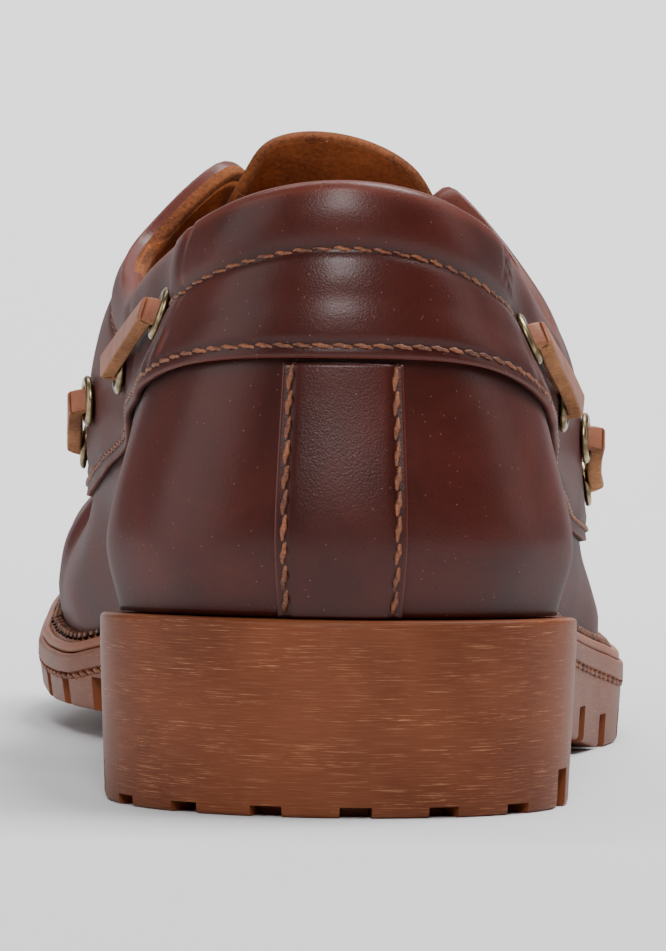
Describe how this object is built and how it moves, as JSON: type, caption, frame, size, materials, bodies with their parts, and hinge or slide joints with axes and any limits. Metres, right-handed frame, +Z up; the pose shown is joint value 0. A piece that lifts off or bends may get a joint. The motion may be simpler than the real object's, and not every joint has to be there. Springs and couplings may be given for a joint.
{
  "type": "moc toe oxford shoe",
  "caption": "Low lace-up leather shoe for the right foot with a raised apron seam, a collar band with a leather thong lace, and a lugged rubber sole.",
  "frame": {"origin": "middle of the shoe's bounding box in plan, on the floor", "axes": "+Y from the heel to the toe, +X to the lateral side of a right foot, +Z up"},
  "size_m": [0.1121, 0.3007, 0.1108],
  "materials": {
    "pull_up_leather": "glossy waxed full-grain leather, burgundy brown",
    "suede_lining": "matt tan suede",
    "gum_rubber": "satin gum rubber with fine buffing marks",
    "welt_rubber": "satin",
    "antique_brass": "antique",
    "leather_thong": "smooth tan leather with a rough cut edge"
  },
  "bodies": {
    "root": {"outsole": "gum_rubber", "welt": "welt_rubber", "insole": "suede_lining", "upper": "pull_up_leather", "collar_band": "pull_up_leather", "back_strip": "pull_up_leather", "tongue": "pull_up_leather", "eyelet_side_lateral_1": "antique_brass", "eyelet_side_lateral_2": "antique_brass", "eyelet_side_lateral_3": "antique_brass", "eyelet_side_lateral_4": "antique_brass", "eyelet_throat_lateral_1": "antique_brass", "eyelet_throat_lateral_2": "antique_brass", "eyelet_throat_lateral_3": "antique_brass", "lace_side_lateral_1": "leather_thong", "lace_side_lateral_2": "leather_thong", "eyelet_side_medial_1": "antique_brass", "eyelet_side_medial_2": "antique_brass", "eyelet_side_medial_3": "antique_brass", "eyelet_side_medial_4": "antique_brass", "eyelet_throat_medial_1": "antique_brass", "eyelet_throat_medial_2": "antique_brass", "eyelet_throat_medial_3": "antique_brass", "lace_side_medial_1": "leather_thong", "lace_side_medial_2": "leather_thong", "lace_throat_1": "leather_thong", "lace_throat_2": "leather_thong"}
  },
  "joints": []
}
